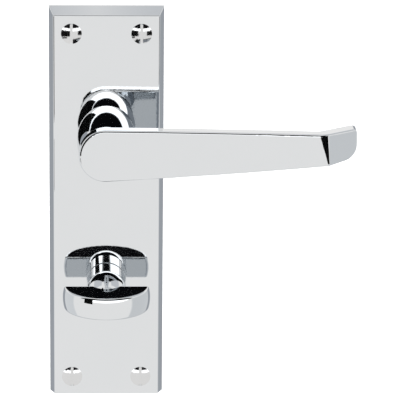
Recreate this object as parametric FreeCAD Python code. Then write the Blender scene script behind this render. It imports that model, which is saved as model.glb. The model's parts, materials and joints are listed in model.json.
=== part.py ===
import FreeCAD, Part
import math
import os

# A chrome lever handle on a long bathroom backplate, with a half-moon thumb turn below the lever.
# Millimetres. The door's face is the plane y = 0 and the handle stands out along -Y, so +Y goes into
# the door. +X is the way the lever points and +Z is up. The origin is the middle of the plate's back.

# Backplate
PLATE_WIDTH = 42.0
PLATE_HEIGHT = 148.0
PLATE_DEPTH = 10.0
PLATE_LAND = 1.5          # the square edge that lies against the door
PLATE_BEVEL = 1.7         # how far in from the outline the flat face starts
PLATE_WALL = 2.7          # metal between the cavity and the edge of the flat face
PLATE_EDGE_ROUND = 0.5
CAVITY_ROUND = 2.0
RIB_THICKNESS = 2.0
RIB_SETBACK = 1.5         # the ribs stop this far short of the door
BOSS_RISE = 1.4           # the bearing bosses' height above the cavity's floor

# Lever and thumb turn places
SPINDLE_CENTRES = 57.0    # from the lever's spindle down to the thumb turn's
LEVER_AXIS_UP = 28.5      # the lever's axis above the plate's middle

# Fixing screws: slotted, raised countersunk, for wood
SCREW_INSET_X = 8.3       # from the plate's edge to the screw's centre
SCREW_INSET_Z = 8.5
SCREW_HEAD_RADIUS = 3.75
SCREW_HEAD_RISE = 0.9
SCREW_SHANK_RADIUS = 2.1  # the plain part, which ends at the door's face
SCREW_THREAD_RADIUS = 1.85
SCREW_LENGTH = 25.0       # from the head's rim to the point
SCREW_POINT = 4.0
SCREW_SLOT_WIDTH = 1.0
SCREW_SLOT_DEPTH = 1.3
SCREW_BOSS_RADIUS = 5.0
SCREW_HOLE_CLEARANCE = 0.15

# Lever handle
LEVER_GAP = 27.0          # between the plate's face and the lever's back
LEVER_THICKNESS = 5.8
LEVER_REACH = 89.6        # from the spindle's axis to the tip
LEVER_HUB_RADIUS = 9.4
LEVER_HUB_OFFSET = -0.45  # the round end's centre, from the spindle's axis
LEVER_TOP_AT_BEND = 7.75  # height of the top edge over the axis, where the tip bends
LEVER_FOOT_AT_BEND = -3.4
LEVER_TOP_BULGE = 0.25    # how far each long edge bows out from straight
LEVER_FOOT_BULGE = 0.45
LEVER_EDGE_ROUND = 0.8
BEND_END = 79.4           # where the bend ends and the tip runs straight back
BEND_TOP_RADIUS = 6.4     # the bend is conical, tight at the lever's foot
BEND_FOOT_RADIUS = 1.0
BEND_BACK_RADIUS = 3.0
BEND_ANGLE = 40.0
TIP_TOP_ROUND = 1.6
TIP_FOOT_ROUND = 5.0
NECK_BASE_COVER = 0.8    # how far the neck's foot covers the plate round its bush
NECK_BELLY = 0.5         # the neck swells this much between its foot and the lever
NECK_TOP_RADIUS = 9.35

# Lever bearing, spindle and spring
FACE_GAP = 0.25           # the moving castings stand this far off the plate's face
RUNNING = 0.05            # radial clearance of shafts that turn in bushes
SLIP = 0.05               # clearance a side of pieces that slide on and turn together
LEVER_SOCKET_WALL = 2.27  # metal round the corners of the spindle's socket
LEVER_FLAT_DEPTH = 0.6    # how deep each of the journal's two flats is cut
LEVER_BUSH_WALL = 1.35
LEVER_FLANGE_LIP = 3.2    # the bush's flange beyond its sleeve
LEVER_SPINDLE_SIDE = 8.0
LEVER_SOCKET_DEPTH = 30.0
LEVER_SPINDLE_OUT = 52.0  # how far the spindle stands out behind the plate
CAM_TAIL_THICKNESS = 0.8
CAM_TAIL_WIDTH = 6.0
CAM_TAIL_OVERREACH = 1.4  # beyond the stop pins' centres
CAM_TAIL_GAP = 0.2        # between the coil and the tail
KEEPER_THICKNESS = 0.6
KEEPER_COVER = 0.4        # how far the keeper laps the coil's outside
KEEPER_WALL_GAP = 0.1     # the least room left between the keeper and the plate's walls
THRUST_WASHER = 0.6
THRUST_GAP = 0.1
CIRCLIP_THICKNESS = 1.0
CIRCLIP_WIDTH = 2.0
CIRCLIP_GROOVE = 1.0      # depth of the groove in the journal
CIRCLIP_MOUTH = 50.0      # degrees left open between the circlip's ears
JOURNAL_END = 0.7         # the journal's length past its circlip
LEVER_TURN = 45.0         # how far the lever turns down before its stop
STOP_PIN_RADIUS = 1.8
STOP_CLEARANCE = 0.1
PIN_BOSS_WALL = 0.8
PIN_BOSS_RISE = 1.8
SPRING_WIRE = 1.2
SPRING_INNER_GAP = 1.4    # between the cam and the coil
SPRING_COIL_GAP = 0.05    # between one turn and the next
SPRING_PIN_GAP = 0.4      # between the coil and the stop pins' bosses
SPRING_FULL_TURNS = 2     # and the part of a turn that brings the moving leg to the tail
SPRING_FLOOR_GAP = 0.3
SPRING_FIXED_LEG = 11.0
SPRING_MOVING_LEG = 8.0
SPRING_BEARING = 7.0      # along a leg, from the coil to what it bears on
TANG_RADIUS = 1.0         # the round tang on the cam's tail
ANCHOR_PIN_RADIUS = 1.5
PIN_SEAT = 0.55           # how deep the pins sit in the plate's skin, as a share of it
MECHANISM_INSET = 0.1     # the lever's journal ends this far short of the door
CONTACT = 0.03            # between a wire and what it bears on

# Thumb turn
TURN_GAP = 17.5           # between the plate's face and the half-moon's straight edge
TURN_CHORD = 30.6
TURN_DROP = 15.5          # from the straight edge to the rim
TURN_THICKNESS = 8.2
TURN_CROWN = 0.6
TURN_EDGE_ROUND = 0.9
TURN_STEM_COVER = 0.35    # how far the stem covers the plate round its bush
TURN_STEM_STRAIGHT = 9.75
TURN_NOSE_LENGTH = 14.5
TURN_STEM_BASE_ROUND = 0.5
TURN_SOCKET_WALL = 2.39
TURN_BUSH_WALL = 0.95
TURN_FLANGE_LIP = 2.4
TURN_SPINDLE_SIDE = 5.0
TURN_SOCKET_DEPTH = 22.0
TURN_SPINDLE_OUT = 52.0
WAVE_THICKNESS = 0.4
WAVE_RISE = 0.8
FLANGE_THICKNESS = 0.8
BUSH_SETBACK = 0.2        # the bushes end this far inside the plate's face

# Grub screws
LEVER_GRUB_RADIUS = 2.5
LEVER_GRUB_LENGTH = 5.0
LEVER_GRUB_HEX = 2.5
LEVER_GRUB_STANDOFF = 10.0   # in front of the plate's face
TURN_GRUB_RADIUS = 2.0
TURN_GRUB_LENGTH = 4.0
TURN_GRUB_HEX = 2.0
TURN_GRUB_STANDOFF = 5.0
GRUB_THREAD_GAP = 0.05
GRUB_HEX_DEPTH = 2.0

# Worked out from the above
OVERRUN = 1.0             # cutters pass this far beyond what they cut
FACE_Y = -PLATE_DEPTH
CAVITY_HALF_WIDTH = PLATE_WIDTH / 2 - PLATE_BEVEL - PLATE_WALL
CAVITY_HALF_HEIGHT = PLATE_HEIGHT / 2 - PLATE_BEVEL - PLATE_WALL
TURN_AXIS_UP = LEVER_AXIS_UP - SPINDLE_CENTRES
NECK_Y = FACE_Y - FACE_GAP
LEVER_BACK_Y = FACE_Y - LEVER_GAP
LEVER_FRONT_Y = LEVER_BACK_Y - LEVER_THICKNESS
LEVER_JOURNAL_RADIUS = (LEVER_SPINDLE_SIDE / 2 + SLIP) * math.sqrt(2) + LEVER_SOCKET_WALL
LEVER_FLAT_WIDTH = 2 * (LEVER_JOURNAL_RADIUS - LEVER_FLAT_DEPTH)
LEVER_BUSH_RADIUS = LEVER_JOURNAL_RADIUS + RUNNING + LEVER_BUSH_WALL
LEVER_FLANGE_RADIUS = LEVER_BUSH_RADIUS + LEVER_FLANGE_LIP
NECK_BASE_RADIUS = LEVER_BUSH_RADIUS + NECK_BASE_COVER
CAM_RADIUS = LEVER_FLANGE_RADIUS
SPRING_MEAN_RADIUS = CAM_RADIUS + SPRING_INNER_GAP + SPRING_WIRE / 2
SPRING_OUTER_RADIUS = SPRING_MEAN_RADIUS + SPRING_WIRE / 2
SPRING_PITCH = SPRING_WIRE + SPRING_COIL_GAP
TANG_CIRCLE = SPRING_OUTER_RADIUS + TANG_RADIUS + CONTACT
SPRING_SWEEP = 360.0 * SPRING_FULL_TURNS + 180.0 - LEVER_TURN / 2 - math.degrees(
    math.atan2(SPRING_BEARING, TANG_CIRCLE))
SPRING_CLIMB = SPRING_PITCH * SPRING_SWEEP / 360.0
LEVER_END_Y = -MECHANISM_INSET
LEVER_CIRCLIP_Y = LEVER_END_Y - JOURNAL_END - CIRCLIP_THICKNESS
KEEPER_Y = LEVER_CIRCLIP_Y - KEEPER_THICKNESS
SPRING_END_Y = KEEPER_Y - CAM_TAIL_THICKNESS - CAM_TAIL_GAP - SPRING_WIRE / 2
SPRING_START_Y = SPRING_END_Y - SPRING_CLIMB
FLOOR_Y = SPRING_START_Y - SPRING_WIRE / 2 - SPRING_FLOOR_GAP
BOSS_Y = FLOOR_Y + BOSS_RISE
PIN_FOOT_Y = FLOOR_Y - PIN_SEAT * (FLOOR_Y - FACE_Y)
STOP_CIRCLE_RADIUS = SPRING_OUTER_RADIUS + SPRING_PIN_GAP + PIN_BOSS_WALL + STOP_PIN_RADIUS
CAM_TAIL_REACH = STOP_CIRCLE_RADIUS + CAM_TAIL_OVERREACH
KEEPER_RADIUS = min(SPRING_OUTER_RADIUS + KEEPER_COVER, CAVITY_HALF_WIDTH - KEEPER_WALL_GAP)
LEVER_THRUST_Y = BOSS_Y + FLANGE_THICKNESS + THRUST_GAP
CAM_Y = LEVER_THRUST_Y + THRUST_WASHER
TURN_JOURNAL_RADIUS = (TURN_SPINDLE_SIDE / 2 + SLIP) * math.sqrt(2) + TURN_SOCKET_WALL
TURN_BUSH_RADIUS = TURN_JOURNAL_RADIUS + RUNNING + TURN_BUSH_WALL
TURN_FLANGE_RADIUS = TURN_BUSH_RADIUS + TURN_FLANGE_LIP
TURN_STEM_RADIUS = TURN_BUSH_RADIUS + TURN_STEM_COVER
TURN_WASHER_RADIUS = TURN_FLANGE_RADIUS
TURN_WAVE_Y = BOSS_Y + FLANGE_THICKNESS + THRUST_GAP
TURN_THRUST_Y = TURN_WAVE_Y + WAVE_RISE + WAVE_THICKNESS
TURN_CIRCLIP_Y = TURN_THRUST_Y + THRUST_WASHER
TURN_END_Y = TURN_CIRCLIP_Y + CIRCLIP_THICKNESS + JOURNAL_END
TURN_BACK_Y = FACE_Y - TURN_GAP
STOP_HALF_ANGLE = LEVER_TURN / 2 + math.degrees(
    math.asin((CAM_TAIL_WIDTH / 2 + STOP_PIN_RADIUS + STOP_CLEARANCE) / STOP_CIRCLE_RADIUS))
INTO_DOOR = FreeCAD.Vector(0, 1, 0)
UP = FreeCAD.Vector(0, 0, 1)


def point(x, y, z):
    return FreeCAD.Vector(x, y, z)


def rod(radius, y_from, y_to, up=0.0, x=0.0):
    """A round bar along Y."""
    return Part.makeCylinder(radius, y_to - y_from, point(x, y_from, up), INTO_DOOR)


def ring(inner, outer, y_from, y_to, up):
    """A washer or sleeve about Y."""
    return rod(outer, y_from, y_to, up).cut(rod(inner, y_from - OVERRUN, y_to + OVERRUN, up))


def block(x_from, x_to, y_from, y_to, z_from, z_to):
    return Part.makeBox(x_to - x_from, y_to - y_from, z_to - z_from, point(x_from, y_from, z_from))


def square_bar(side, y_from, y_to, up):
    return block(-side / 2, side / 2, y_from, y_to, up - side / 2, up + side / 2)


def flatted(radius, across, y_from, y_to, up):
    """A round bar with two flats that face +X and -X."""
    slab = block(-across / 2, across / 2, y_from, y_to, up - 2 * radius, up + 2 * radius)
    return rod(radius, y_from, y_to, up).common(slab)


def turned_about_y(shape, degrees, up):
    """A copy of the shape, turned about the Y line at this height."""
    turned = shape.copy()
    turned.rotate(point(0, 0, up), INTO_DOOR, degrees)
    return turned


def face_rectangle(half_x, half_z, y):
    corners = [point(-half_x, y, -half_z), point(half_x, y, -half_z),
               point(half_x, y, half_z), point(-half_x, y, half_z)]
    return Part.makePolygon(corners + corners[:1])


def edges_where(shape, test):
    """The edges whose every vertex passes the test."""
    return [edge for edge in shape.Edges if all(test(v.Point) for v in edge.Vertexes)]


def sharp_edges(shape, least_degrees=20.0):
    """The edges where two faces meet at an angle."""
    found = []
    for edge in shape.Edges:
        faces = shape.ancestorsOfType(edge, Part.Face)
        if len(faces) != 2:
            continue
        middle = edge.valueAt((edge.FirstParameter + edge.LastParameter) / 2)
        normals = [face.normalAt(*face.Surface.parameter(middle)) for face in faces]
        if math.degrees(normals[0].getAngle(normals[1])) > least_degrees:
            found.append(edge)
    return found


def screw_places():
    half_x = PLATE_WIDTH / 2 - SCREW_INSET_X
    half_z = PLATE_HEIGHT / 2 - SCREW_INSET_Z
    return [(x, z) for z in (half_z, -half_z) for x in (-half_x, half_x)]


def stop_places():
    """The two stop pins, either side of the cam's tail below the lever's axis."""
    reach = STOP_CIRCLE_RADIUS
    turn = math.radians(STOP_HALF_ANGLE)
    return [(side * reach * math.sin(turn), LEVER_AXIS_UP - reach * math.cos(turn)) for side in (-1, 1)]


def anchor_place():
    """The anchor pin stands above the spring's fixed leg, which leaves the coil's top along -X."""
    return -SPRING_BEARING, LEVER_AXIS_UP + SPRING_OUTER_RADIUS + ANCHOR_PIN_RADIUS + CONTACT


def pin_height():
    """Where the pins' ends stand, level with the back of the cam's tail."""
    return KEEPER_Y + KEEPER_THICKNESS / 2


def plate_shell():
    half_x = PLATE_WIDTH / 2
    half_z = PLATE_HEIGHT / 2
    outline = face_rectangle(half_x, half_z, -PLATE_LAND)
    face = face_rectangle(half_x - PLATE_BEVEL, half_z - PLATE_BEVEL, FACE_Y)
    bevelled = Part.makeLoft([outline, face], True, True)
    land = block(-half_x, half_x, -PLATE_LAND, 0, -half_z, half_z)
    shell = land.fuse(bevelled).removeSplitter()
    rim = edges_where(shell, lambda p: p.y < FACE_Y + CONTACT)
    mitres = [e for e in shell.Edges if len({round(v.Point.y, 3) for v in e.Vertexes}) == 2
              and min(v.Point.y for v in e.Vertexes) < FACE_Y + CONTACT]
    return shell.makeFillet(PLATE_EDGE_ROUND, rim + mitres)


def plate_cavity():
    cavity = block(-CAVITY_HALF_WIDTH, CAVITY_HALF_WIDTH, FLOOR_Y, OVERRUN,
                   -CAVITY_HALF_HEIGHT, CAVITY_HALF_HEIGHT)
    corners = edges_where(cavity, lambda p: True)
    upright = [e for e in corners if abs(e.Vertexes[0].Y - e.Vertexes[1].Y) > CONTACT]
    return cavity.makeFillet(CAVITY_ROUND, upright)


def rib_heights():
    """Two cross ribs, between the two mechanisms and below the thumb turn."""
    below_stops = min(z for x, z in stop_places()) - STOP_PIN_RADIUS - PIN_BOSS_WALL
    above_turn = TURN_AXIS_UP + TURN_FLANGE_RADIUS
    return [(below_stops + above_turn) / 2, 2 * TURN_AXIS_UP - (below_stops + above_turn) / 2]


def backplate():
    cavity = plate_cavity()
    plate = plate_shell().cut(cavity)
    wall_x = CAVITY_HALF_WIDTH + PLATE_WALL / 2
    for up in rib_heights():
        rib = block(-wall_x, wall_x, FLOOR_Y, -RIB_SETBACK, up - RIB_THICKNESS / 2, up + RIB_THICKNESS / 2)
        plate = plate.fuse(rib)
    for x, z in screw_places():
        boss = rod(SCREW_BOSS_RADIUS, FLOOR_Y, 0, z, x).common(cavity)
        plate = plate.fuse(boss)
    for x, z in stop_places():
        radius = STOP_PIN_RADIUS + PIN_BOSS_WALL
        plate = plate.fuse(rod(radius, FLOOR_Y, FLOOR_Y + PIN_BOSS_RISE, z, x))
    plate = plate.fuse(rod(LEVER_FLANGE_RADIUS, FLOOR_Y, BOSS_Y, LEVER_AXIS_UP))
    plate = plate.fuse(rod(TURN_FLANGE_RADIUS, FLOOR_Y, BOSS_Y, TURN_AXIS_UP))
    plate = plate.cut(rod(LEVER_BUSH_RADIUS, FACE_Y - OVERRUN, 0, LEVER_AXIS_UP))
    plate = plate.cut(rod(TURN_BUSH_RADIUS, FACE_Y - OVERRUN, 0, TURN_AXIS_UP))
    for x, z in screw_places():
        plate = plate.cut(screw_hole(x, z))
    for x, z in stop_places():
        plate = plate.cut(rod(STOP_PIN_RADIUS, PIN_FOOT_Y, 0, z, x))
    x, z = anchor_place()
    plate = plate.cut(rod(ANCHOR_PIN_RADIUS, PIN_FOOT_Y, 0, z, x))
    return plate.removeSplitter()


def screw_cone(x, z):
    """The countersunk part of a screw's head, a right-angled cone."""
    depth = SCREW_HEAD_RADIUS - SCREW_SHANK_RADIUS
    return Part.makeCone(SCREW_HEAD_RADIUS, SCREW_SHANK_RADIUS, depth, point(x, FACE_Y, z), INTO_DOOR)


def screw_hole(x, z):
    hole = rod(SCREW_SHANK_RADIUS + SCREW_HOLE_CLEARANCE, FACE_Y - OVERRUN, OVERRUN, z, x)
    return hole.fuse(screw_cone(x, z))


def plate_screw(x, z):
    dome_radius = (SCREW_HEAD_RADIUS ** 2 + SCREW_HEAD_RISE ** 2) / (2 * SCREW_HEAD_RISE)
    ball = Part.makeSphere(dome_radius, point(x, FACE_Y - SCREW_HEAD_RISE + dome_radius, z))
    dome = ball.common(rod(dome_radius, FACE_Y - 2 * SCREW_HEAD_RISE, FACE_Y, z, x))
    thread_end = FACE_Y + SCREW_LENGTH - SCREW_POINT
    shank = rod(SCREW_SHANK_RADIUS, FACE_Y, 0, z, x)
    thread = rod(SCREW_THREAD_RADIUS, 0, thread_end, z, x)
    tip = Part.makeCone(SCREW_THREAD_RADIUS, 0, SCREW_POINT, point(x, thread_end, z), INTO_DOOR)
    screw = dome.fuse([screw_cone(x, z), shank, thread, tip]).removeSplitter()
    slot_floor = FACE_Y - SCREW_HEAD_RISE + SCREW_SLOT_DEPTH
    slot = block(x - SCREW_SLOT_WIDTH / 2, x + SCREW_SLOT_WIDTH / 2, FACE_Y - 2 * SCREW_HEAD_RISE,
                 slot_floor, z - 2 * SCREW_HEAD_RADIUS, z + 2 * SCREW_HEAD_RADIUS)
    return screw.cut(slot)


def plate_screws():
    return Part.makeCompound([plate_screw(x, z) for x, z in screw_places()])


def flanged_bush(bore, outer, flange, up):
    sleeve = ring(bore, outer, FACE_Y + BUSH_SETBACK, BOSS_Y, up)
    collar = ring(bore, flange, BOSS_Y, BOSS_Y + FLANGE_THICKNESS, up)
    return sleeve.fuse(collar).removeSplitter()


def lever_bush():
    bore = LEVER_JOURNAL_RADIUS + RUNNING
    return flanged_bush(bore, LEVER_BUSH_RADIUS, LEVER_FLANGE_RADIUS, LEVER_AXIS_UP)


def turn_bush():
    bore = TURN_JOURNAL_RADIUS + RUNNING
    return flanged_bush(bore, TURN_BUSH_RADIUS, TURN_FLANGE_RADIUS, TURN_AXIS_UP)


def stop_pins():
    pins = [rod(STOP_PIN_RADIUS, PIN_FOOT_Y, pin_height(), z, x) for x, z in stop_places()]
    return Part.makeCompound(pins)


def spring_anchor_pin():
    x, z = anchor_place()
    return rod(ANCHOR_PIN_RADIUS, PIN_FOOT_Y, SPRING_END_Y, z, x)


def return_spring():
    """A torsion spring whose legs leave the coil at a tangent: one bears on the anchor pin and one on the
    cam's tang. It is made about Z, from the coil's start on +X, then laid with its axis along Y."""
    sweep = math.radians(SPRING_SWEEP)
    coil = Part.makeHelix(SPRING_PITCH, SPRING_PITCH * SPRING_SWEEP / 360.0, SPRING_MEAN_RADIUS)
    rise = SPRING_PITCH / (2 * math.pi)
    start = point(SPRING_MEAN_RADIUS, 0, 0)
    along_start = point(0, SPRING_MEAN_RADIUS, rise).normalize()
    end = point(SPRING_MEAN_RADIUS * math.cos(sweep), SPRING_MEAN_RADIUS * math.sin(sweep), rise * sweep)
    along_end = point(-SPRING_MEAN_RADIUS * math.sin(sweep), SPRING_MEAN_RADIUS * math.cos(sweep), rise)
    foot = start - along_start * SPRING_FIXED_LEG
    fixed_leg = Part.LineSegment(foot, start).toShape()
    moving_leg = Part.LineSegment(end, end + along_end.normalize() * SPRING_MOVING_LEG).toShape()
    path = Part.Wire([fixed_leg] + coil.Edges + [moving_leg])
    section = Part.Wire(Part.makeCircle(SPRING_WIRE / 2, foot, along_start))
    spring = path.makePipeShell([section], True, False)
    lay_along_y = FreeCAD.Matrix(0, 1, 0, 0,
                                 0, 0, 1, SPRING_START_Y,
                                 1, 0, 0, LEVER_AXIS_UP,
                                 0, 0, 0, 1)
    spring.transformShape(lay_along_y)
    return Part.Solid(spring.Shells[0])


def lever_outline():
    """The lever seen from the front, as a prism along Y: a round hub, two bowed edges and the tip."""
    hub = LEVER_HUB_RADIUS
    left = LEVER_HUB_OFFSET
    lean = math.atan2(hub - LEVER_TOP_AT_BEND, BEND_END)
    foot_lean = math.atan2(hub + LEVER_FOOT_AT_BEND, BEND_END)
    top_from = point(left + hub * math.sin(lean), 0, hub * math.cos(lean))
    foot_from = point(left + hub * math.sin(foot_lean), 0, -hub * math.cos(foot_lean))
    top_slope = (LEVER_TOP_AT_BEND - top_from.z) / (BEND_END - top_from.x)
    foot_slope = (LEVER_FOOT_AT_BEND - foot_from.z) / (BEND_END - foot_from.x)
    top_to = point(LEVER_REACH, 0, top_from.z + top_slope * (LEVER_REACH - top_from.x))
    foot_to = point(LEVER_REACH, 0, foot_from.z + foot_slope * (LEVER_REACH - foot_from.x))
    top_middle = (top_from + top_to) * 0.5 + point(0, 0, LEVER_TOP_BULGE)
    foot_middle = (foot_from + foot_to) * 0.5 - point(0, 0, LEVER_FOOT_BULGE)
    edges = [Part.Arc(foot_from, point(left - hub, 0, 0), top_from).toShape(),
             Part.Arc(top_from, top_middle, top_to).toShape(),
             Part.LineSegment(top_to, foot_to).toShape(),
             Part.Arc(foot_to, foot_middle, foot_from).toShape()]
    deep = LEVER_THICKNESS + LEVER_GAP
    prism = Part.Face(Part.Wire(edges)).extrude(point(0, 2 * deep, 0))
    prism.translate(point(0, LEVER_FRONT_Y - deep, LEVER_AXIS_UP))
    prism = round_tip_corner(prism, top_to.z, TIP_TOP_ROUND)
    return round_tip_corner(prism, foot_to.z, TIP_FOOT_ROUND)


def round_tip_corner(prism, height, radius):
    def at_corner(p):
        return p.x > LEVER_REACH - CONTACT and abs(p.z - LEVER_AXIS_UP - height) < CONTACT
    return prism.makeFillet(radius, edges_where(prism, at_corner))


def section_outline(front_radius, height):
    """The lever seen from above at this height: straight, then bent back towards the door."""
    turn = math.radians(BEND_ANGLE)
    along = point(math.cos(turn), math.sin(turn), 0)
    tip = along * (2 * (LEVER_REACH - BEND_END))

    def bend(radius, corner):
        """The first, middle and last points of an arc that rounds off this corner."""
        start = corner - point(radius * math.tan(turn / 2), 0, 0)
        middle = start + point(radius * math.sin(turn / 2), radius * (1 - math.cos(turn / 2)), 0)
        return start, middle, start + point(radius * math.sin(turn), radius * (1 - math.cos(turn)), 0)

    corner_x = BEND_END - front_radius * (math.sin(turn) - math.tan(turn / 2))
    front_corner = point(corner_x, LEVER_FRONT_Y, height)
    back_corner = front_corner + point(-LEVER_THICKNESS * math.tan(turn / 2), LEVER_THICKNESS, 0)
    front = bend(front_radius, front_corner)
    back = bend(BEND_BACK_RADIUS, back_corner)
    start_x = LEVER_HUB_OFFSET - 2 * LEVER_HUB_RADIUS
    front_start = point(start_x, LEVER_FRONT_Y, height)
    back_start = point(start_x, LEVER_BACK_Y, height)
    edges = [Part.LineSegment(front_start, front[0]),
             Part.Arc(*front),
             Part.LineSegment(front[2], front_corner + tip),
             Part.LineSegment(front_corner + tip, back_corner + tip),
             Part.LineSegment(back_corner + tip, back[2]),
             Part.Arc(back[2], back[1], back[0]),
             Part.LineSegment(back[0], back_start),
             Part.LineSegment(back_start, front_start)]
    return Part.Wire([edge.toShape() for edge in edges])


def lever_section():
    """The lever's bent bar, from below its foot to above its top. The bend is part of a cone."""
    foot = section_outline(BEND_FOOT_RADIUS, LEVER_AXIS_UP + LEVER_FOOT_AT_BEND)
    top = section_outline(BEND_TOP_RADIUS, LEVER_AXIS_UP + LEVER_TOP_AT_BEND)
    margin = point(0, 0, 2 * LEVER_HUB_RADIUS)
    below = Part.Face(foot).extrude(-margin)
    above = Part.Face(top).extrude(margin)
    return Part.makeLoft([foot, top], True, True).fuse([below, above])


def neck():
    """The round neck between the plate and the lever, swelling gently between its ends."""
    inside = LEVER_BACK_Y - LEVER_THICKNESS / 2
    belly_y = (NECK_Y + LEVER_BACK_Y) / 2
    foot = point(NECK_BASE_RADIUS, NECK_Y, 0)
    shoulder = point(NECK_TOP_RADIUS, LEVER_BACK_Y, 0)
    belly = point(NECK_BASE_RADIUS + NECK_BELLY, belly_y, 0)
    edges = [Part.LineSegment(point(0, NECK_Y, 0), foot).toShape(),
             Part.Arc(foot, belly, shoulder).toShape(),
             Part.LineSegment(shoulder, point(NECK_TOP_RADIUS, inside, 0)).toShape(),
             Part.LineSegment(point(NECK_TOP_RADIUS, inside, 0), point(0, inside, 0)).toShape(),
             Part.LineSegment(point(0, inside, 0), point(0, NECK_Y, 0)).toShape()]
    solid = Part.Face(Part.Wire(edges)).revolve(point(0, 0, 0), INTO_DOOR, 360)
    solid.translate(point(0, 0, LEVER_AXIS_UP))
    return solid


def journal(radius, across, y_to, circlip_y, flats_from, up):
    """The turning shaft behind a casting, with its two flats and circlip groove."""
    shaft = rod(radius, NECK_Y, flats_from, up)
    shaft = shaft.fuse(flatted(radius, across, flats_from, y_to, up))
    groove = ring(radius - CIRCLIP_GROOVE, 2 * radius, circlip_y, circlip_y + CIRCLIP_THICKNESS, up)
    return shaft.cut(groove)


def lever_handle():
    blade = lever_outline().common(lever_section())
    blade = blade.makeFillet(LEVER_EDGE_ROUND, sharp_edges(blade))
    shaft = journal(LEVER_JOURNAL_RADIUS, LEVER_FLAT_WIDTH, LEVER_END_Y, LEVER_CIRCLIP_Y,
                    LEVER_THRUST_Y, LEVER_AXIS_UP)
    handle = blade.fuse([neck(), shaft])
    socket = square_bar(LEVER_SPINDLE_SIDE + 2 * SLIP, LEVER_END_Y - LEVER_SOCKET_DEPTH,
                        LEVER_END_Y + OVERRUN, LEVER_AXIS_UP)
    handle = handle.cut(socket)
    hole = grub_hole(LEVER_GRUB_RADIUS, FACE_Y - LEVER_GRUB_STANDOFF, LEVER_AXIS_UP, NECK_BASE_RADIUS)
    return handle.cut(hole).removeSplitter()


def grub_hole(radius, y, up, out):
    """A hole from a socket's middle straight down through the casting."""
    return Part.makeCylinder(radius, out + OVERRUN, point(0, y, up), -UP)


def grub_screw(radius, length, hexagon, y, up, spindle_side):
    """A headless screw that points up and bears on its spindle's lower flat."""
    top = up - spindle_side / 2
    body = Part.makeCylinder(radius - GRUB_THREAD_GAP, length, point(0, y, top - length), UP)
    corner = hexagon / math.sqrt(3)
    corners = [point(corner * math.cos(math.radians(60 * i)), corner * math.sin(math.radians(60 * i)), 0)
               for i in range(6)]
    key = Part.Face(Part.makePolygon(corners + corners[:1])).extrude(point(0, 0, GRUB_HEX_DEPTH + OVERRUN))
    key.translate(point(0, y, top - length - OVERRUN))
    return body.cut(key)


def lever_grub_screw():
    return grub_screw(LEVER_GRUB_RADIUS, LEVER_GRUB_LENGTH, LEVER_GRUB_HEX,
                      FACE_Y - LEVER_GRUB_STANDOFF, LEVER_AXIS_UP, LEVER_SPINDLE_SIDE)


def turn_grub_screw():
    return grub_screw(TURN_GRUB_RADIUS, TURN_GRUB_LENGTH, TURN_GRUB_HEX,
                      FACE_Y - TURN_GRUB_STANDOFF, TURN_AXIS_UP, TURN_SPINDLE_SIDE)


def spindle(side, socket_floor, out, up):
    """A square bar with small chamfers at both ends."""
    bar = square_bar(side, socket_floor, out, up)
    ends = edges_where(bar, lambda p: p.y < socket_floor + CONTACT)
    ends += edges_where(bar, lambda p: p.y > out - CONTACT)
    return bar.makeChamfer(side / 10, ends)


def lever_spindle():
    floor = LEVER_END_Y - LEVER_SOCKET_DEPTH + SLIP
    return spindle(LEVER_SPINDLE_SIDE, floor, LEVER_SPINDLE_OUT, LEVER_AXIS_UP)


def turn_spindle():
    floor = TURN_END_Y - TURN_SOCKET_DEPTH + SLIP
    return spindle(TURN_SPINDLE_SIDE, floor, TURN_SPINDLE_OUT, TURN_AXIS_UP)


def keyed_hole(radius, across, y_from, y_to, up):
    return flatted(radius + SLIP, across + 2 * SLIP, y_from - OVERRUN, y_to + OVERRUN, up)


def lever_thrust_washer():
    outer = LEVER_FLANGE_RADIUS - SLIP
    washer = rod(outer, LEVER_THRUST_Y, CAM_Y, LEVER_AXIS_UP)
    hole = keyed_hole(LEVER_JOURNAL_RADIUS, LEVER_FLAT_WIDTH, LEVER_THRUST_Y, CAM_Y, LEVER_AXIS_UP)
    return washer.cut(hole)


def spring_cam():
    """A disc keyed to the lever. Its tail runs between the stop pins and carries the spring's tang."""
    disc = rod(CAM_RADIUS, CAM_Y, KEEPER_Y, LEVER_AXIS_UP)
    tail_root = CAM_RADIUS - CAM_TAIL_WIDTH / 2
    tail = block(-CAM_TAIL_WIDTH / 2, CAM_TAIL_WIDTH / 2, KEEPER_Y - CAM_TAIL_THICKNESS, KEEPER_Y,
                 LEVER_AXIS_UP - CAM_TAIL_REACH, LEVER_AXIS_UP - tail_root)
    reach = math.hypot(TANG_CIRCLE, SPRING_BEARING)
    tang = rod(TANG_RADIUS, SPRING_END_Y - SPRING_WIRE / 2, KEEPER_Y, LEVER_AXIS_UP - reach)
    cam = disc.fuse(turned_about_y(tail.fuse(tang), -LEVER_TURN / 2, LEVER_AXIS_UP))
    hole = keyed_hole(LEVER_JOURNAL_RADIUS, LEVER_FLAT_WIDTH, CAM_Y, KEEPER_Y, LEVER_AXIS_UP)
    return cam.cut(hole).removeSplitter()


def spring_keeper():
    """A thin disc over the cam that keeps the coil from falling out of the plate."""
    disc = rod(KEEPER_RADIUS, KEEPER_Y, LEVER_CIRCLIP_Y, LEVER_AXIS_UP)
    hole = keyed_hole(LEVER_JOURNAL_RADIUS, LEVER_FLAT_WIDTH, KEEPER_Y, LEVER_CIRCLIP_Y, LEVER_AXIS_UP)
    return disc.cut(hole)


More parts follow.
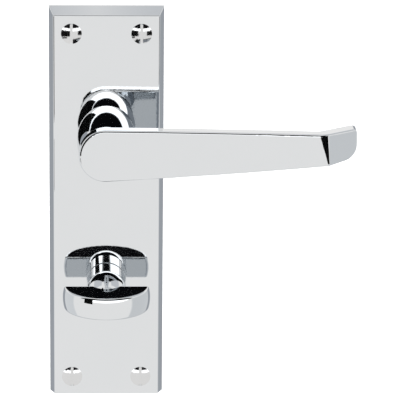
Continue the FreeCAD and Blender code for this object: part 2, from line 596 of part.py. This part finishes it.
def circlip(groove_radius, y, up):
    """An open ring with two pierced ears, its mouth upwards."""
    inner = groove_radius + SLIP
    outer = inner + CIRCLIP_WIDTH
    y_to = y + CIRCLIP_THICKNESS
    clip = ring(inner, outer, y, y_to, up)
    half = math.radians(CIRCLIP_MOUTH / 2)
    far = 2 * outer
    mouth = Part.Face(Part.makePolygon([point(0, y - OVERRUN, up),
                                        point(far * math.sin(half), y - OVERRUN, up + far * math.cos(half)),
                                        point(-far * math.sin(half), y - OVERRUN, up + far * math.cos(half)),
                                        point(0, y - OVERRUN, up)]))
    clip = clip.cut(mouth.extrude(point(0, CIRCLIP_THICKNESS + 2 * OVERRUN, 0)))
    ear_radius = 0.75 * CIRCLIP_WIDTH
    middle = (inner + outer) / 2 + CIRCLIP_WIDTH / 4
    reach = half + math.asin(ear_radius / middle)
    for side in (-1, 1):
        x = side * middle * math.sin(reach)
        z = up + middle * math.cos(reach)
        clip = clip.fuse(rod(ear_radius, y, y_to, z, x))
        clip = clip.cut(rod(ear_radius / 2, y - OVERRUN, y_to + OVERRUN, z, x))
    return clip.cut(rod(inner, y - OVERRUN, y_to + OVERRUN, up)).removeSplitter()


def lever_circlip():
    return circlip(LEVER_JOURNAL_RADIUS - CIRCLIP_GROOVE, LEVER_CIRCLIP_Y, LEVER_AXIS_UP)


def turn_circlip():
    return circlip(TURN_JOURNAL_RADIUS - CIRCLIP_GROOVE, TURN_CIRCLIP_Y, TURN_AXIS_UP)


def half_moon():
    """A thick half-disc that lies flat, its straight edge towards the door and its rim crowned."""
    half_chord = TURN_CHORD / 2
    disc_radius = (half_chord ** 2 + TURN_DROP ** 2) / (2 * TURN_DROP)
    centre_y = TURN_BACK_Y - TURN_DROP + disc_radius
    half = TURN_THICKNESS / 2
    corners = [point(0, 0, -half), point(disc_radius, 0, -half), point(disc_radius + TURN_CROWN, 0, 0),
               point(disc_radius, 0, half), point(0, 0, half)]
    edges = [Part.LineSegment(corners[0], corners[1]).toShape(),
             Part.Arc(corners[1], corners[2], corners[3]).toShape(),
             Part.LineSegment(corners[3], corners[4]).toShape(),
             Part.LineSegment(corners[4], corners[0]).toShape()]
    disc = Part.Face(Part.Wire(edges)).revolve(point(0, 0, 0), UP, 360)
    disc.translate(point(0, centre_y, TURN_AXIS_UP))
    wide = 2 * disc_radius
    keep = block(-wide, wide, TURN_BACK_Y - 2 * wide, TURN_BACK_Y, TURN_AXIS_UP - wide, TURN_AXIS_UP + wide)
    blade = disc.common(keep)
    return blade.makeFillet(TURN_EDGE_ROUND, sharp_edges(blade))


def stem():
    """The thumb turn's round stem, whose domed end sinks into the half-moon."""
    radius = TURN_STEM_RADIUS
    straight_end = NECK_Y - TURN_STEM_STRAIGHT
    diagonal = math.sqrt(0.5)
    foot = point(radius, NECK_Y, 0)
    shoulder = point(radius, straight_end, 0)
    cheek = point(radius * diagonal, straight_end - TURN_NOSE_LENGTH * diagonal, 0)
    nose = point(0, straight_end - TURN_NOSE_LENGTH, 0)
    edges = [Part.LineSegment(point(0, NECK_Y, 0), foot).toShape(),
             Part.LineSegment(foot, shoulder).toShape(),
             Part.Arc(shoulder, cheek, nose).toShape(),
             Part.LineSegment(nose, point(0, NECK_Y, 0)).toShape()]
    solid = Part.Face(Part.Wire(edges)).revolve(point(0, 0, 0), INTO_DOOR, 360)
    rim = [e for e in solid.Edges if e.BoundBox.YMin > NECK_Y - CONTACT]
    solid = solid.makeFillet(TURN_STEM_BASE_ROUND, rim)
    solid.translate(point(0, 0, TURN_AXIS_UP))
    return solid


def thumb_turn():
    shaft = journal(TURN_JOURNAL_RADIUS, 2 * TURN_JOURNAL_RADIUS, TURN_END_Y, TURN_CIRCLIP_Y,
                    TURN_WAVE_Y, TURN_AXIS_UP)
    turn = half_moon().fuse([stem(), shaft])
    socket = square_bar(TURN_SPINDLE_SIDE + 2 * SLIP, TURN_END_Y - TURN_SOCKET_DEPTH,
                        TURN_END_Y + OVERRUN, TURN_AXIS_UP)
    turn = turn.cut(socket)
    hole = grub_hole(TURN_GRUB_RADIUS, FACE_Y - TURN_GRUB_STANDOFF, TURN_AXIS_UP, TURN_STEM_RADIUS)
    return turn.cut(hole).removeSplitter()


def turn_wave_washer():
    """A dished spring washer that gives the thumb turn its light friction."""
    bore = TURN_JOURNAL_RADIUS + SLIP
    low = TURN_WAVE_Y
    corners = [point(bore, low + WAVE_RISE, 0), point(TURN_WASHER_RADIUS, low, 0),
               point(TURN_WASHER_RADIUS, low + WAVE_THICKNESS, 0),
               point(bore, low + WAVE_RISE + WAVE_THICKNESS, 0)]
    washer = Part.Face(Part.makePolygon(corners + corners[:1])).revolve(point(0, 0, 0), INTO_DOOR, 360)
    washer.translate(point(0, 0, TURN_AXIS_UP))
    return washer


def turn_thrust_washer():
    return ring(TURN_JOURNAL_RADIUS + SLIP, TURN_WASHER_RADIUS, TURN_THRUST_Y, TURN_CIRCLIP_Y, TURN_AXIS_UP)


NODES = {
    "backplate": backplate,
    "lever_bush": lever_bush,
    "turn_bush": turn_bush,
    "plate_screws": plate_screws,
    "stop_pins": stop_pins,
    "spring_anchor_pin": spring_anchor_pin,
    "return_spring": return_spring,
    "lever_handle": lever_handle,
    "lever_spindle": lever_spindle,
    "lever_grub_screw": lever_grub_screw,
    "lever_thrust_washer": lever_thrust_washer,
    "spring_cam": spring_cam,
    "spring_keeper": spring_keeper,
    "lever_circlip": lever_circlip,
    "thumb_turn": thumb_turn,
    "turn_spindle": turn_spindle,
    "turn_grub_screw": turn_grub_screw,
    "turn_wave_washer": turn_wave_washer,
    "turn_thrust_washer": turn_thrust_washer,
    "turn_circlip": turn_circlip,
}

os.makedirs("parts", exist_ok=True)
for name, make in NODES.items():
    shape = make()
    print(name, "solids", len(shape.Solids), "valid", shape.isValid(), "volume", round(shape.Volume, 1))
    shape.exportStep(os.path.join("parts", name + ".step"))
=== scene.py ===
"""A chrome lever handle on a long backplate, with a half-moon thumb turn, in a pale studio."""

import json
import math

import bpy
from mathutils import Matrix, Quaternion, Vector


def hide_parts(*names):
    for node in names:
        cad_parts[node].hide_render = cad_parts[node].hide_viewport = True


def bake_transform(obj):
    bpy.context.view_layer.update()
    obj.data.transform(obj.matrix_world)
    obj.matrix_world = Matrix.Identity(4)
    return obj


# The camera: a long lens a little above the handle, just left of the plate's middle
CAMERA_ELEVATION = math.radians(16.2)
CAMERA_DISTANCE = 1.144
CAMERA_AIM = Vector((0.0347, 0.0, 0.0001))
CAMERA_LEFT = 0.0383      # how far the camera stands to the left of its aim
CAMERA_ROLL = 0.0097
CAMERA_LENS = 278.0
SENSOR_WIDTH = 36.0

FLOOR_DROP = 0.30         # the floor lies this far below the object's middle
FLOOR_SIZE = 12.0
FLOOR_PAPER = ((0.93, 0.93, 0.93), (0.95, 0.95, 0.95))
SUN_STRENGTH = 3.4
SUN_ANGLE = math.radians(60)
BLACK_CLOTH = (0.004, 0.004, 0.004, 1.0)
CLOUD_SCALE = 60.0        # cells to a metre, in the slow drift of a metal's colour
RELIEF_DEPTH = 0.0002     # how deep the finest surface relief is

# The studio as the chrome sees it, by direction: azimuth from the front towards +X, and elevation, in
# degrees. Each card covers a patch of the sky and is painted over the ones before it.
STUDIO_BASE = (1.06, 1.04, 1.02)
CARDS = [
    # name, azimuth from, to, elevation from, to, softness, colour
    ("right side", 70, 150, -70, 11, 8, (0.76, 0.77, 0.78)),
    ("left side", -150, -96, -70, 11, 8, (0.84, 0.85, 0.86)),
    ("right wall", 142, 180, -70, 11, 4, (0.38, 0.40, 0.43)),
    ("left wall", -180, -142, -70, 11, 4, (0.38, 0.40, 0.43)),
    ("right wall top", 100, 180, 28, 65, 4, (0.70, 0.71, 0.73)),
    ("left wall top", -180, -100, 28, 65, 4, (0.70, 0.71, 0.73)),
    ("front light", -60, 60, 3, 16, 1.5, (2.3, 2.3, 2.3)),
    ("dark ceiling", -75, 75, 16, 68, 1.5, (0.004, 0.004, 0.005)),
]

# Upright black flags near the handle, hidden from the camera: each one's two ends, seen from above as
# (x, y), and the heights of its lower and upper edges
FLAGS = {
    "flag_right": ((0.108, -0.194), (0.212, -0.112), -0.006, 0.075),
    "flag_left": ((-0.036, -0.171), (-0.150, -0.090), -0.005, 0.080),
    "flag_low_left": ((-0.078, -0.140), (-0.125, -0.108), -0.034, -0.012),
}


def node_of(tree, kind, **values):
    """A new node, with its properties set and its inputs set or linked by name."""
    node = tree.nodes.new(kind)
    for name, value in values.items():
        if hasattr(node, name):
            setattr(node, name, value)
        elif isinstance(value, bpy.types.NodeSocket):
            tree.links.new(value, node.inputs[name.replace("_", " ")])
        else:
            node.inputs[name.replace("_", " ")].default_value = value
    return node


def maths(tree, operation, first, second=0.0):
    """A sum worked out by a node, on numbers or on other nodes' outputs."""
    node = tree.nodes.new("ShaderNodeMath")
    node.operation = operation
    for socket, value in zip(node.inputs, (first, second)):
        if isinstance(value, bpy.types.NodeSocket):
            tree.links.new(value, socket)
        else:
            socket.default_value = value
    return node.outputs[0]


def ramp_up(tree, value, start, end):
    """0 before start, 1 after end, smooth between."""
    node = tree.nodes.new("ShaderNodeMapRange")
    node.interpolation_type = "SMOOTHSTEP"
    tree.links.new(value, node.inputs["Value"])
    node.inputs["From Min"].default_value = start
    node.inputs["From Max"].default_value = end
    return node.outputs["Result"]


def band(tree, value, low, high, softness):
    """1 between low and high, and 0 outside, with soft edges."""
    rise = ramp_up(tree, value, low - softness / 2, low + softness / 2)
    fall = ramp_up(tree, value, high - softness / 2, high + softness / 2)
    return maths(tree, "SUBTRACT", rise, fall)


def mixed(tree, amount, first, second):
    """A colour between two colours."""
    node = tree.nodes.new("ShaderNodeMix")
    node.data_type = "RGBA"
    factor, a, b = node.inputs[0], node.inputs[6], node.inputs[7]
    for socket, value in ((factor, amount), (a, first), (b, second)):
        if isinstance(value, bpy.types.NodeSocket):
            tree.links.new(value, socket)
        elif socket is factor:
            socket.default_value = value
        else:
            socket.default_value = (*value, 1.0)
    return node.outputs[2]


def make_studio():
    """The world's colour by direction: the base colour, with the cards painted over it in turn."""
    world = bpy.data.worlds.new("studio")
    bpy.context.scene.world = world
    world.use_nodes = True
    tree = world.node_tree
    tree.nodes.clear()
    direction = tree.nodes.new("ShaderNodeTexCoord").outputs["Generated"]
    parts = node_of(tree, "ShaderNodeSeparateXYZ", Vector=direction)
    towards_front = maths(tree, "MULTIPLY", parts.outputs["Y"], -1.0)
    azimuth = maths(tree, "DEGREES", maths(tree, "ARCTAN2", parts.outputs["X"], towards_front))
    elevation = maths(tree, "DEGREES", maths(tree, "ARCSINE", parts.outputs["Z"]))
    colour = STUDIO_BASE
    for _, az_from, az_to, el_from, el_to, softness, paint in CARDS:
        across = band(tree, azimuth, az_from, az_to, softness)
        up = band(tree, elevation, el_from, el_to, softness)
        colour = mixed(tree, maths(tree, "MULTIPLY", across, up), colour, paint)
    background = node_of(tree, "ShaderNodeBackground", Color=colour, Strength=1.0)
    output = tree.nodes.new("ShaderNodeOutputWorld")
    tree.links.new(background.outputs[0], output.inputs["Surface"])


def make_floor():
    """Plain pale paper, which the chrome doesn't reflect."""
    half = FLOOR_SIZE / 2
    mesh = bpy.data.meshes.new("floor")
    corners = [(-half, -half, -FLOOR_DROP), (half, -half, -FLOOR_DROP),
               (half, half, -FLOOR_DROP), (-half, half, -FLOOR_DROP)]
    mesh.from_pydata(corners, [], [(0, 1, 2, 3)])
    floor = bpy.data.objects.new("floor", mesh)
    bpy.context.scene.collection.objects.link(floor)
    floor.visible_glossy = False
    material = bpy.data.materials.new("floor_paper")
    material.use_nodes = True
    tree = material.node_tree
    shader = tree.nodes["Principled BSDF"]
    shader.inputs["Roughness"].default_value = 0.9
    noise = node_of(tree, "ShaderNodeTexNoise", Scale=3.0, Detail=2.0)
    colour = mixed(tree, noise.outputs[0], *FLOOR_PAPER)
    tree.links.new(colour, shader.inputs["Base Color"])
    mesh.materials.append(material)


def make_key_light():
    """A broad overhead light that whitens the floor; the chrome's reflections come from the studio."""
    data = bpy.data.lights.new("overhead", "SUN")
    data.energy = SUN_STRENGTH
    data.angle = SUN_ANGLE
    light = bpy.data.objects.new("overhead", data)
    light.visible_glossy = False
    bpy.context.scene.collection.objects.link(light)


def make_flags():
    """Black cards that the neck, the tip and the thumb turn reflect; the camera doesn't see them."""
    material = bpy.data.materials.new("flag_cloth")
    material.use_nodes = True
    shader = material.node_tree.nodes["Principled BSDF"]
    shader.inputs["Base Color"].default_value = BLACK_CLOTH
    shader.inputs["Roughness"].default_value = 1.0
    shader.inputs["Specular IOR Level"].default_value = 0.0
    for name, (first, second, low, high) in FLAGS.items():
        mesh = bpy.data.meshes.new(name)
        corners = [(*first, low), (*second, low), (*second, high), (*first, high)]
        mesh.from_pydata(corners, [], [(0, 1, 2, 3)])
        mesh.materials.append(material)
        flag = bpy.data.objects.new(name, mesh)
        flag.visible_camera = False
        flag.visible_diffuse = False
        flag.visible_shadow = False
        bpy.context.scene.collection.objects.link(flag)


def make_camera():
    data = bpy.data.cameras.new("camera")
    data.lens = CAMERA_LENS
    data.sensor_width = SENSOR_WIDTH
    data.clip_end = 50.0
    camera = bpy.data.objects.new("camera", data)
    back = Vector((0.0, -math.cos(CAMERA_ELEVATION), math.sin(CAMERA_ELEVATION)))
    camera.location = CAMERA_AIM + back * CAMERA_DISTANCE - Vector((CAMERA_LEFT, 0.0, 0.0))
    turn = (CAMERA_AIM - camera.location).to_track_quat("-Z", "Y")
    camera.rotation_euler = (turn @ Quaternion((0.0, 0.0, 1.0), CAMERA_ROLL)).to_euler()
    bpy.context.scene.collection.objects.link(camera)
    bpy.context.scene.camera = camera


def metal(name, dark, light, smooth, rough, grain, grain_stretch, bump):
    """A metal whose colour and roughness drift between two values, with a fine grain.

    grain is how many cells there are to a metre, and grain_stretch lengthens them along Y."""
    material = bpy.data.materials.new(name)
    material.use_nodes = True
    tree = material.node_tree
    shader = tree.nodes["Principled BSDF"]
    shader.inputs["Metallic"].default_value = 1.0
    place = tree.nodes.new("ShaderNodeTexCoord").outputs["Object"]
    cloud = node_of(tree, "ShaderNodeTexNoise", Vector=place, Scale=CLOUD_SCALE, Detail=3.0)
    stretched = node_of(tree, "ShaderNodeMapping", Vector=place)
    stretched.inputs["Scale"].default_value = (1.0, 1.0 / grain_stretch, 1.0)
    fine = node_of(tree, "ShaderNodeTexNoise", Vector=stretched.outputs[0], Scale=grain, Detail=4.0)
    colour = mixed(tree, cloud.outputs[0], dark, light)
    tree.links.new(colour, shader.inputs["Base Color"])
    spread = node_of(tree, "ShaderNodeMapRange", Value=fine.outputs[0])
    spread.inputs["To Min"].default_value = smooth
    spread.inputs["To Max"].default_value = rough
    tree.links.new(spread.outputs[0], shader.inputs["Roughness"])
    relief = node_of(tree, "ShaderNodeBump", Height=fine.outputs[0], Strength=bump, Distance=RELIEF_DEPTH)
    tree.links.new(relief.outputs[0], shader.inputs["Normal"])
    return material


def polished_chrome():
    return metal("polished_chrome", (0.67, 0.695, 0.715), (0.69, 0.71, 0.73), 0.015, 0.045, 900.0, 1.0, 0.01)


def screw_chrome():
    return metal("screw_chrome", (0.60, 0.61, 0.62), (0.68, 0.69, 0.70), 0.05, 0.16, 1500.0, 1.0, 0.08)


def zinc_steel():
    return metal("zinc_steel", (0.50, 0.51, 0.51), (0.62, 0.62, 0.60), 0.22, 0.42, 1800.0, 12.0, 0.2)


def dark_steel():
    return metal("dark_steel", (0.05, 0.05, 0.055), (0.10, 0.10, 0.10), 0.35, 0.55, 2500.0, 1.0, 0.25)


def spring_steel():
    return metal("spring_steel", (0.30, 0.30, 0.31), (0.40, 0.40, 0.40), 0.25, 0.4, 2200.0, 1.0, 0.15)


def nylon():
    """Natural moulded nylon: milky, slightly waxy, with a faint moulded texture."""
    material = bpy.data.materials.new("moulded_nylon")
    material.use_nodes = True
    tree = material.node_tree
    shader = tree.nodes["Principled BSDF"]
    place = tree.nodes.new("ShaderNodeTexCoord").outputs["Object"]
    cloud = node_of(tree, "ShaderNodeTexNoise", Vector=place, Scale=150.0, Detail=3.0)
    colour = mixed(tree, cloud.outputs[0], (0.70, 0.68, 0.60), (0.78, 0.76, 0.70))
    tree.links.new(colour, shader.inputs["Base Color"])
    shader.inputs["Roughness"].default_value = 0.4
    shader.inputs["Subsurface Weight"].default_value = 0.2
    shader.inputs["Subsurface Radius"].default_value = (0.002, 0.002, 0.0015)
    relief = node_of(tree, "ShaderNodeBump", Height=cloud.outputs[0], Strength=0.2, Distance=RELIEF_DEPTH)
    tree.links.new(relief.outputs[0], shader.inputs["Normal"])
    return material


def paint_nodes(nodes, record):
    """Gives each CAD node the material of its slot in the record."""
    finishes = {
        "polished_chrome": polished_chrome(),
        "screw_chrome": screw_chrome(),
        "steel": zinc_steel(),
        "dark_steel": dark_steel(),
        "spring_steel": spring_steel(),
        "nylon": nylon(),
    }
    for part in record["subparts"]:
        piece = nodes[part["node"]]
        for place in piece.material_slots:
            place.material = finishes[part["material_slot"]]
    return finishes


def wound_spring(nodes, finish):
    """The return spring as a piece that winds between the plate and the lever."""
    spring = bpy.data.objects.new("wound_spring", nodes["return_spring"].data.copy())
    bpy.context.scene.collection.objects.link(spring)
    spring.data.materials.clear()
    spring.data.materials.append(finish)
    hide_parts("return_spring")
    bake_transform(spring)


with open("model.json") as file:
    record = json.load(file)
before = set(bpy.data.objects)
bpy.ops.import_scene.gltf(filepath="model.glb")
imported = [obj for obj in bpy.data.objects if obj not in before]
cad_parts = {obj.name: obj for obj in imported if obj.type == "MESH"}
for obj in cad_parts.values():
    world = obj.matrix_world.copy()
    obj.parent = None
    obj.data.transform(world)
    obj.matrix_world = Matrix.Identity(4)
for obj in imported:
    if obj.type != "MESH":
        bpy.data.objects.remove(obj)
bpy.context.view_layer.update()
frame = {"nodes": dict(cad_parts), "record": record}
make_studio()
make_floor()
make_key_light()
make_flags()
make_camera()
finishes = paint_nodes(frame["nodes"], frame["record"])
wound_spring(frame["nodes"], finishes["spring_steel"])
bpy.context.scene.view_settings.view_transform = "Standard"
